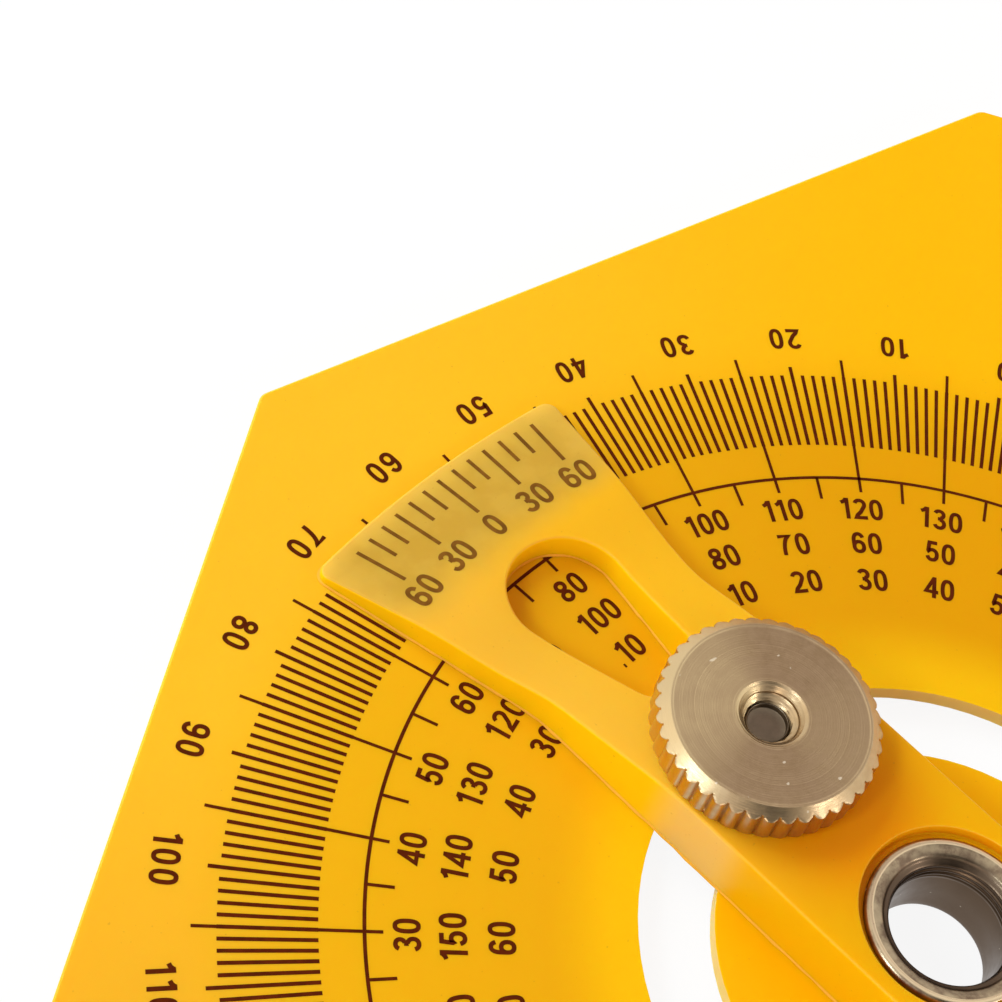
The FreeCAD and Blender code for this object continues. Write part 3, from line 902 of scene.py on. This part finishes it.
# Depths below the eyelet's top of the two heights: the darkening fades between them, and the painted crest
# highlight starts at the second.
EYELET_DARK_DROP, EYELET_HIGHLIGHT_DROP = 0.7, 0.04

# Turning marks in noise features a metre, and roughness.
NUT_GROOVES, SCREW_GROOVES, EYELET_GROOVES = 9000, 7000, 6000
SCREW_ROUGHNESS, EYELET_ROUGHNESS = 0.42, 0.33


def arm_plan(reach, aside):
    """Points of the plan at a reach from the pivot towards the tip and a distance to the left of it."""
    return np.multiply.outer(reach, AHEAD) + np.multiply.outer(aside, LEFT)


def arm_height(s, reach):
    """Height of the vernier arm's upper side at a reach: flat, slope, thin land and bevelled tip."""
    fall = (s.blade_thickness - s.tip_thickness) / (s.tip_reach - s.bevel_start)
    profile = rounded([
        (BEHIND_TAIL, ARM_HIGH, 0),
        (s.slope_start, ARM_HIGH, s.slope_blend),
        (s.land_start, s.blade_thickness, s.slope_blend),
        (s.bevel_start, s.blade_thickness, s.slope_blend),
        (s.tip_reach + PAST_TIP, s.tip_thickness - PAST_TIP * fall, 0),
    ], False, PROFILE_SPACING)
    return np.interp(reach, profile[:, 0], profile[:, 1])


def circle(angles, radius, reach=0):
    """Points at angles about a middle at a reach."""
    return [reach, 0] + radius * np.stack([np.cos(angles), np.sin(angles)], -1)


def arm_loops(s):
    """Closed loops of the arm in reach and distance to the left: outline, window, recesses, screw hole."""
    edge = math.asin(s.tip_half_width / s.tip_arc_radius)
    corner = s.tip_reach - s.tip_arc_radius * (1 - math.cos(edge))
    turn = np.linspace(-edge, edge, TIP_POINTS)[1:-1]
    tip = np.stack([s.tip_reach - s.tip_arc_radius * (1 - np.cos(turn)), s.tip_arc_radius * np.sin(turn)], -1)
    tail = -float(np.hypot(*PIVOTS["tail"][:2])) - s.half_width
    outline = rounded([
        (tail, -s.half_width, s.half_width),
        (s.flare_reach, -s.half_width, s.flare_blend),
        (corner, -s.tip_half_width, s.tip_corner_round),
        *[(x, y, 0) for x, y in tip],
        (corner, s.tip_half_width, s.tip_corner_round),
        (s.flare_reach, s.half_width, s.flare_blend),
        (tail, s.half_width, s.half_width),
    ], True, OUTLINE_SPACING)
    lean = math.acos((s.window_near_radius - s.window_far_radius) / (s.window_far - s.window_near))
    far = circle(np.linspace(-lean, lean, FAR_POINTS), s.window_far_radius, s.window_far)
    near = circle(np.linspace(lean, 2 * math.pi - lean, NEAR_POINTS), s.window_near_radius, s.window_near)
    part = np.linspace(0, 1, SIDE_POINTS)[1:-1, None]
    sides = [start + (end - start) * part for start, end in ((far[-1], near[0]), (near[-1], far[0]))]
    window = np.vstack([far, sides[0], near, sides[1]])
    turn = full_turn(TURN_STEPS)[:, 0]
    return [
        outline,
        window,
        circle(turn, s.recess_radius),
        circle(turn, s.recess_radius, tail + s.half_width),
        circle(turn, s.screw_hole_radius, CLAMP_RADIUS),
    ]


def soft_rim(radius):
    """Rows of (distance into the material, depth below the upper side, share of the painted rim highlight)
    round a rim of a radius.
    """
    turn = np.radians(np.linspace(0, 90, RIM_POINTS))
    return [(radius * (1 - math.cos(a)), radius * (1 - math.sin(a)), math.sin(2 * a) ** 2) for a in turn]


def moved(rows, out, up):
    """Rows of (radius, height) moved out and up."""
    return [(radius + out, z + up) for radius, z in rows]


def thread_phase(s, z, angle):
    """How far a height and angle lie from one crest of the thread to the next, from 0 to 1."""
    return (z / s.thread_pitch + angle / (2 * np.pi)) % 1.0


def nut_profile(s, angle):
    """Rows of the nut: knurled side with a chamfer that cuts the teeth, burr, face and threaded mouth."""
    crest, root = s.nut_radius, s.nut_radius - s.knurl_depth
    low, high, face = NUT_LOW, NUT_HIGH, NUT_HIGH - s.bead_height
    ribbed = root + (crest - root) * np.abs(np.cos(angle * s.knurl_teeth / 2)) ** TOOTH_POWER
    rows = [(NUT_HOLE, low), (root - NUT_FOOT_BEVEL, low)]
    for part in np.linspace(0, 1, 4):
        rows.append((np.minimum(ribbed, root + (crest - root) * part), low + s.nut_foot_height * part))
    first, last = low + s.nut_foot_height + FOOT_GAP, high - s.nut_chamfer_height - CHAMFER_GAP
    rows += [(ribbed, z) for z in np.linspace(first, last, 4)]
    for part in np.linspace(0, CHAMFER_SHARE, 9):
        cone = crest - s.nut_chamfer_width * part
        rows.append((np.minimum(ribbed, cone), high - s.nut_chamfer_height * (1 - part)))
    rim = s.nut_radius - s.nut_chamfer_width
    rows += moved(BURR, rim, high) + moved(FACE_RIM, rim, face)
    rows += [(radius, face) for radius in FACE_RADII]
    rows += moved(MOUTH_LIP, s.mouth_radius, face)
    top, throat = face - MOUTH_DROP, s.mouth_radius - MOUTH_ROUND
    for z in np.linspace(top, low + THREAD_FOOT, THREAD_ROWS):
        inner = throat - (throat - s.thread_radius) * min(top - z, 1.0)
        depth = s.thread_depth * min(max((top - z - SMOOTH_MOUTH) / GROOVE_START, 0.0), 1.0)
        rows.append((inner + depth * np.sin(np.pi * thread_phase(s, z, angle)) ** GROOVE_POWER, z))
    return rows


def screw_profile(s, angle):
    """Rows of the clamp screw: flat head, square-sided neck, threaded shank and dished end."""
    turn = angle - math.radians(180 - REST_READING)
    along, across = NECK_HALVES
    square = np.minimum(along / np.maximum(np.abs(np.sin(turn)), 1e-6),
                        across / np.maximum(np.abs(np.cos(turn)), 1e-6))
    rows = moved(SCREW_FOOT, 0, SCREW_LOW) + list(SCREW_SHOULDER)
    rows += [(square, NECK_LOW), (square, NECK_HIGH - NECK_BEVEL), (square * NECK_BEVEL_SHARE, NECK_HIGH)]
    rows += [(SHANK_ROOT, NECK_HIGH), (SHANK_ROOT, 0.0)]
    top = SCREW_HIGH - THREAD_END
    for z in np.linspace(THREAD_LOW, top, SHANK_ROWS):
        groove = SHANK_GROOVE * (1 - np.abs(thread_phase(s, z, angle) - 0.5) * 2)
        rows.append((SHANK - groove * min((top - z) / SHANK_FADE, 1.0), z))
    return rows + moved(SCREW_END, 0, SCREW_HIGH) + moved(SCREW_DISH, 0, SCREW_HIGH - s.screw_dish)


def eyelet_profile(s):
    """Rows of an eyelet: ridged funnel, rolled flange, tube, and the clinch that holds the washer."""
    bore, crest, reach = s.eyelet_bore, s.eyelet_crest, s.eyelet_reach
    low, high, under = EYELET_LOW, EYELET_HIGH, EYELET_HIGH - FLANGE
    depth = np.linspace(FUNNEL_DEPTH, 0.0, FUNNEL_ROWS)
    flare = np.clip(1 - depth / FLARE_DEPTH, 0, 1) ** FLARE_POWER
    ridge = RIDGE * np.cos(depth * 2 * np.pi / RIDGE_PITCH)
    ridge = ridge * np.clip(depth / RIDGE_RISE, 0, 1) * np.clip((FUNNEL_DEPTH - depth) / RIDGE_FALL, 0, 1)
    funnel = bore + BORE_PLAY + (crest - CREST_PLAY - bore - BORE_PLAY) * flare + ridge
    rows = list(zip(funnel, high - FUNNEL_DROP - depth))
    rows += [(crest - CREST_HALF, high - CREST_DROP), (crest + CREST_HALF, high)]
    quarter = np.radians(np.linspace(0, 90, 9))
    sine, cosine = np.sin(quarter), np.cos(quarter)
    roll = crest + CREST_HALF + (reach - crest - CREST_HALF) * sine
    rows += list(zip(roll, high - ROLL_DROP * (1 - cosine)))[1:]
    rows += [(reach, under + FLANGE_BEVEL), (reach - FLANGE_BEVEL, under), (s.eyelet_tube, under)]
    rows += [(s.eyelet_tube, low + CLINCH_BACK[0][1])] + moved(CLINCH_BACK, 0, low)
    rows += zip(CLINCH + CLINCH_WIDTH * cosine, low + CLINCH_HEIGHT - CLINCH_HEIGHT * sine)
    rows += list(zip(bore + (CLINCH - bore) * (1 - sine), low + MOUTH_CONE * (1 - cosine)))[1:]
    return rows + [(bore, z) for z in np.linspace(low + BORE_LOW, high - BORE_HIGH, 3)]


# ---------------------------------------------------------------- operators


class ANGLEFINDER_OT_plates(bpy.types.Operator):
    """Gives the moulded plates and arms their plastic"""

    bl_idname = "anglefinder.plates"
    bl_label = "Plastic plates and arms"

    def execute(self, context):
        settings = context.scene.anglefinder_plastic
        head = moulding("Amber head plastic", settings, head_tint, plate_side_tint)
        arm = moulding("Amber arm plastic", settings, arm_tint, arm_side_tint)
        for node, made in {"protractor_head": head, "base_arm": arm, "swing_arm": arm}.items():
            paint(frame["nodes"][node].data, made)
        return {"FINISHED"}


class ANGLEFINDER_OT_arm(bpy.types.Operator):
    """Moulds the vernier arm with soft rims and the thin seam along its lower edge"""

    bl_idname = "anglefinder.arm"
    bl_label = "Vernier arm"

    def seam(self, s, loop, into):
        """Ragged moulding seam along the foot of one wall, rooted a little inside it."""
        along = np.cumsum(np.linalg.norm(loop - np.roll(loop, 1, 0), axis=1))
        ragged = 1
        for size, rate, start in SEAM_WAVES:
            ragged = ragged + size * np.sin(along * rate + start)
        width = s.flash * ragged * np.clip((loop[:, 0] - SEAM_START) / SEAM_FADE, SEAM_LEAST, 1)
        path = loop - into * ((width - s.flash_root) / 2)[:, None]
        middle = arm_plan(path[:, 0], path[:, 1])
        width, foot = width + s.flash_root, s.flash_foot
        return strip(middle, True, width, lambda plan: np.full(len(plan), foot), 0.0, s.flash_height)

    def wall(self, s, number):
        """Wall of one loop: rows of (distance into the plastic, height), and rows as in soft_rim."""
        if number < 2:
            return [(0.0, 0.0), (0.0, WALL_FOOT)], soft_rim(s.rim_round)
        if number < 4:
            hole, floor = s.pivot_radius - s.recess_radius, ARM_HIGH - s.recess_depth
            low = [(hole, 0.0), (hole, floor), (-FLOOR_BEVEL, floor), (0.0, floor + FLOOR_BEVEL)]
            return low, soft_rim(s.rim_round / 2)
        return [(0.0, 0.0)], [(0.0, HOLE_BEVEL, 0.0), (HOLE_BEVEL, 0.0, 0.0)]

    def execute(self, context):
        s = context.scene.anglefinder_arm
        points, faces, tops, feet, top_index, foot_index, inner, seams = [], [], [], [], [], [], [], []
        offset = 0
        for number, loop in enumerate(arm_loops(s)):
            into = outward(loop) * (-1 if number == 0 else 1)
            if number < 2:
                seams.append(self.seam(s, loop, into))
            low, rim = self.wall(s, number)
            count = len(loop)
            rings = []
            for distance, level in low:
                ring = loop + into * distance
                rings.append(np.column_stack([ring, np.full(count, level), np.zeros(count)]))
            for distance, drop, mark in rim:
                ring = loop + into * distance
                rings.append(np.column_stack([ring, arm_height(s, ring[:, 0]) - drop, np.full(count, mark)]))
            quads = grid_quads(len(rings), count, False, True) + offset
            faces += (quads[:, ::-1] if number == 0 else quads).tolist()
            feet.append(rings[0][:, :2])
            tops.append(rings[-1][:, :2])
            foot_index.append(np.arange(count) + offset)
            offset += len(rings) * count
            top_index.append(np.arange(count) + offset - count)
            inner.append(loop + into * (s.rim_round + GRID_MARGIN))
            points += rings
        grid = np.meshgrid(np.arange(*GRID_REACH, GRID_STEP), np.arange(*GRID_ASIDE, GRID_STEP))
        span = np.stack(grid, -1).reshape(-1, 2)
        span = span[inside(span, inner)]
        index = np.concatenate([*top_index, np.arange(len(span)) + offset])
        faces += index[fill(tops, span)].tolist()
        faces += np.concatenate(foot_index)[fill(feet, np.zeros((0, 2)))][:, ::-1].tolist()
        points.append(np.column_stack([span, arm_height(s, span[:, 0]), np.zeros(len(span))]))
        reach, aside, z, edge = np.vstack(points).T
        shell = np.column_stack([arm_plan(reach, aside), z]), faces
        plastic = context.scene.anglefinder_plastic
        made = moulding("Amber blade plastic", plastic, blade_tint, arm_side_tint)
        new_piece("moulded_vernier_arm", [shell], "vernier", made, ("vernier_arm",), 40, edge)
        # Painted highlight: the seam takes the pale edge highlight colour.
        made = plain_moulding("Amber seam plastic", plastic.edge_colour)
        new_piece("vernier_arm_seam", seams, "vernier", made, sharp=60)
        return {"FINISHED"}


class ANGLEFINDER_OT_head_scale(bpy.types.Operator):
    """Prints the head's arc, ticks and four rings of numbers"""

    bl_idname = "anglefinder.head_scale"
    bl_label = "Scale of the head"

    def execute(self, context):
        s = context.scene.anglefinder_print
        marks = Print(lambda plan: np.zeros(len(plan)), s, HEAD_SIDESTEP)
        marks.arc(0, 180, s.arc_radius, s.arc_line)
        for reading in range(181):
            if reading % 10 == 0:
                marks.tick(reading, TEN_TICK, s.fine_line)
            marks.tick(reading, FIVE_TICK if reading % 10 == 5 else DEGREE_TICK, s.degree_line)
            if reading % 10 == 5:
                marks.tick(reading, (INNER_TICK_START, s.arc_radius), s.fine_line)
        for reading in range(0, 181, 10):
            from_upright = abs(90 - reading)
            dot = "." if from_upright == 10 else ""
            for radius, text in zip(INNER_RINGS, (str(reading), str(180 - reading), dot + str(from_upright))):
                marks.number(text, reading, radius, 1, s.numeral_height, s.numeral_gap)
        for reading in range(5, 180, 10):
            marks.number(str(abs(135 - reading)), reading, OUTER_RING, -1, s.outer_height, s.outer_gap)
        new_piece("head_scale_print", marks.parts, "head", ink("Scale ink", s.ink_colour))
        return {"FINISHED"}


class ANGLEFINDER_OT_vernier_scale(bpy.types.Operator):
    """Prints the vernier's ticks and numbers on the bevelled tip"""

    bl_idname = "anglefinder.vernier_scale"
    bl_label = "Scale of the vernier"

    def execute(self, context):
        s = context.scene.anglefinder_print
        arm = context.scene.anglefinder_arm
        marks = Print(lambda plan: arm_height(arm, plan @ AHEAD), s)
        readings = {index: REST_READING + s.vernier_offset + index * s.vernier_step for index in range(-6, 7)}
        for index, reading in readings.items():
            marks.tick(reading, VERNIER_SHORT if index % 3 else VERNIER_LONG, s.vernier_line)
        for index in range(-6, 7, 3):
            text = str(abs(index * 10))
            marks.number(text, readings[index], VERNIER_RING, 1, s.vernier_height, s.numeral_gap)
        made = ink("Vernier ink", s.vernier_ink_colour)
        new_piece("vernier_scale_print", marks.parts, "vernier", made)
        return {"FINISHED"}


class ANGLEFINDER_OT_nut(bpy.types.Operator):
    """Turns the knurled thumb nut with its chamfer, face, mouth and thread"""

    bl_idname = "anglefinder.nut"
    bl_label = "Knurled nut"

    def execute(self, context):
        s = context.scene.anglefinder_turned
        sheen = s.sheen_azimuth, s.sheen_colour
        made = turned_metal("Plated brass nut", s.nut_colour, s.nut_deep_colour, NUT_CENTRE,
                            NUT_GROOVES, s.nut_roughness, 1.0, sheen=sheen)
        steps = s.knurl_teeth * TOOTH_STEPS
        shell = lathe(nut_profile(s, full_turn(steps)), steps, NUT_CENTRE, True)
        new_piece("knurled_thumb_nut", [shell], "nut", made, ("knurled_nut",), 32)
        return {"FINISHED"}


class ANGLEFINDER_OT_screw(bpy.types.Operator):
    """Makes the clamp screw: flat head, square-sided neck and threaded shank"""

    bl_idname = "anglefinder.screw"
    bl_label = "Clamp screw"

    def execute(self, context):
        s = context.scene.anglefinder_turned
        made = turned_metal("Plated steel screw", s.steel_colour, shade(s.steel_colour, 0.8), NUT_CENTRE,
                            SCREW_GROOVES, SCREW_ROUGHNESS, 0.2)
        shell = lathe(screw_profile(s, full_turn(TURN_STEPS)), TURN_STEPS, NUT_CENTRE, False)
        new_piece("threaded_clamp_screw", [shell], "vernier", made, ("clamp_screw",), 35)
        return {"FINISHED"}


class ANGLEFINDER_OT_eyelets(bpy.types.Operator):
    """Rolls the four hollow eyelets and dresses their washers"""

    bl_idname = "anglefinder.eyelets"
    bl_label = "Eyelets and washers"

    def execute(self, context):
        s = context.scene.anglefinder_turned
        dark_heights = (EYELET_HIGH - EYELET_DARK_DROP, EYELET_HIGH - EYELET_HIGHLIGHT_DROP)
        for place, centre in PIVOTS.items():
            made = turned_metal("Plated brass eyelet " + place, s.eyelet_colour, s.eyelet_deep_colour, centre,
                                EYELET_GROOVES, EYELET_ROUGHNESS, 0.3, dark_heights)
            shell = lathe(eyelet_profile(s), TURN_STEPS, centre, True)
            name = place + "_eyelet"
            new_piece("rolled_" + name, [shell], EYELET_BODY[place], made, (name,), 40)
            paint(frame["nodes"][place + "_washer"].data, made)
        return {"FINISHED"}


# ---------------------------------------------------------------- stage


WHITE = (1.0, 1.0, 1.0)
FLOOR_SIDE, FLOOR_GLOW = 6.0, 0.9
LAMP_TARGET, CARD_TARGET = (0.0, 0.03, 0.0), (0.0, 0.02, 0.0)
SENSOR_WIDTH, CLIP = 36.0, (0.01, 20.0)

# Cards that only mirror-like surfaces see: (name, place, side, glow), lengths in metres.
CARDS = (
    ("dark_card", (-0.095, -0.338, 0.345), 0.40, (0.03, 0.029, 0.027)),
    ("grey_card", (0.034, 0.044, 0.077), 0.062, (0.51, 0.445, 0.45)),
    ("pale_card", (-0.222, 0.268, 0.300), 0.32, (1.3, 1.24, 1.15)),
)


def square(name, side, made, level=0.0):
    """Level square of a side, in metres, round the upright axis."""
    mesh = bpy.data.meshes.new(name)
    corners = np.array([(-1, -1), (1, -1), (1, 1), (-1, 1)]) * side / 2
    mesh.from_pydata(np.column_stack([corners, np.full(4, level)]), [], [[0, 1, 2, 3]])
    paint(mesh, made)
    return mesh


def aimed(place, target, roll=0.0):
    """Matrix that stands at a place with -Z towards a target, and is turned about that line."""
    place = Vector(place)
    turn = (Vector(target) - place).to_track_quat("-Z", "Y").to_matrix() @ Matrix.Rotation(roll, 3, "Z")
    return Matrix.Translation(place) @ turn.to_4x4()


def stand(name, data, matrix):
    """Object of the stage."""
    holder = bpy.data.objects.new(name, data)
    holder.matrix_world = matrix
    bpy.context.scene.collection.objects.link(holder)
    return holder


def looked_at(tree):
    """1 for rays of the camera and for those that mirror or pass through a surface, and else 0."""
    rays = tree.nodes.new("ShaderNodeLightPath").outputs
    kinds = ("Camera", "Glossy", "Transmission")
    camera, glossy, through = (Wire(tree, rays[f"Is {kind} Ray"]) for kind in kinds)
    return camera.math("ADD", camera + glossy, through, clamp=True)


class ANGLEFINDER_OT_stage(bpy.types.Operator):
    """Sets the camera, the floor, the backdrop and the lamps"""

    bl_idname = "anglefinder.stage"
    bl_label = "Stage and camera"

    def execute(self, context):
        s, scene = context.scene.anglefinder_stage, context.scene
        camera = bpy.data.objects.new("camera", bpy.data.cameras.new("camera"))
        camera.data.lens, camera.data.sensor_width = s.lens, SENSOR_WIDTH
        camera.data.clip_start, camera.data.clip_end = CLIP
        camera.matrix_world = aimed(s.camera_place, s.camera_target, s.camera_roll)
        scene.collection.objects.link(camera)
        scene.camera = camera

        made, place = material("Pale floor")
        dull = place.node("ShaderNodeBsdfDiffuse", None, {"Color": s.floor_colour})
        white = place.node("ShaderNodeEmission", None, {"Color": WHITE, "Strength": 1.0})
        seen = looked_at(place.tree) * FLOOR_GLOW
        seen.node("ShaderNodeMixShader", None, {0: seen, 1: dull, 2: white}).end()
        stand("floor", square("floor", FLOOR_SIDE, made, CAD_BOX[0].z), Matrix())

        world = bpy.data.worlds.new("soft sky")
        world.use_nodes = True
        world.node_tree.nodes.clear()
        seen = looked_at(world.node_tree)
        even = seen.node("ShaderNodeBackground", None, {"Color": s.sky_colour, "Strength": s.sky_strength})
        white = seen.node("ShaderNodeBackground", None, {"Color": WHITE, "Strength": 1.0})
        seen.node("ShaderNodeMixShader", None, {0: seen, 1: even, 2: white}).end("ShaderNodeOutputWorld")
        scene.world = world

        lamps = (
            ("key_lamp", (-0.40, 0.91, 0.64), s.key_size, s.key_power, s.key_colour),
            ("left_lamp", (-0.78, 0.08, 0.74), 0.22, s.left_power, s.key_colour),
            ("fill_lamp", (0.37, -0.79, 0.46), 0.12, s.fill_power, WHITE),
            ("low_lamp", (-0.66, -0.58, 0.22), 0.30, s.low_power, (1.0, 0.9, 0.78)),
        )
        for name, place, size, power, colour in lamps:
            lamp = bpy.data.lights.new(name, "AREA")
            lamp.shape, lamp.size = "SQUARE", size
            lamp.energy, lamp.color = power, colour
            holder = stand(name, lamp, aimed(place, LAMP_TARGET))
            holder.visible_glossy = name != "key_lamp"
        for name, place, size, colour in CARDS:
            made, wire = material(name.replace("_", " "))
            wire.node("ShaderNodeEmission", None, {"Color": colour, "Strength": 1.0}).end()
            holder = stand(name, square(name, size, made), aimed(place, CARD_TARGET))
            holder.visible_camera = holder.visible_diffuse = False
            holder.visible_shadow = holder.visible_transmission = False
        scene.view_settings.view_transform = "Standard"
        return {"FINISHED"}


class ANGLEFINDER_PT_panel(bpy.types.Panel):
    """Lists the steps and settings of the angle finder"""

    bl_label = "Angle finder"
    bl_idname = "ANGLEFINDER_PT_panel"
    bl_space_type = "VIEW_3D"
    bl_region_type = "UI"
    bl_category = "Angle finder"

    def draw(self, context):
        for group in SETTINGS:
            settings = getattr(context.scene, group)
            box = self.layout.box()
            for key in settings.__annotations__:
                box.prop(settings, key)
        for operator in OPERATORS:
            self.layout.operator(operator.bl_idname)


SETTINGS = {
    "anglefinder_plastic": PlasticSettings,
    "anglefinder_arm": ArmSettings,
    "anglefinder_print": PrintSettings,
    "anglefinder_turned": TurnedSettings,
    "anglefinder_stage": StageSettings,
}
OPERATORS = (
    ANGLEFINDER_OT_plates,
    ANGLEFINDER_OT_arm,
    ANGLEFINDER_OT_head_scale,
    ANGLEFINDER_OT_vernier_scale,
    ANGLEFINDER_OT_nut,
    ANGLEFINDER_OT_screw,
    ANGLEFINDER_OT_eyelets,
    ANGLEFINDER_OT_stage,
)


def register():
    """Adds the classes and the scene's settings."""
    for group in (*SETTINGS.values(), *OPERATORS, ANGLEFINDER_PT_panel):
        bpy.utils.register_class(group)
    for name, group in SETTINGS.items():
        setattr(bpy.types.Scene, name, bpy.props.PointerProperty(type=group))


def unregister():
    """Takes the scene's settings and the classes away."""
    for name in SETTINGS:
        delattr(bpy.types.Scene, name)
    for group in reversed((*SETTINGS.values(), *OPERATORS, ANGLEFINDER_PT_panel)):
        bpy.utils.unregister_class(group)


def main():
    """Builds every piece and the stage."""
    register()
    for operator in OPERATORS:
        group, name = operator.bl_idname.split(".")
        getattr(getattr(bpy.ops, group), name)()


if __name__ == "__main__":
    main()
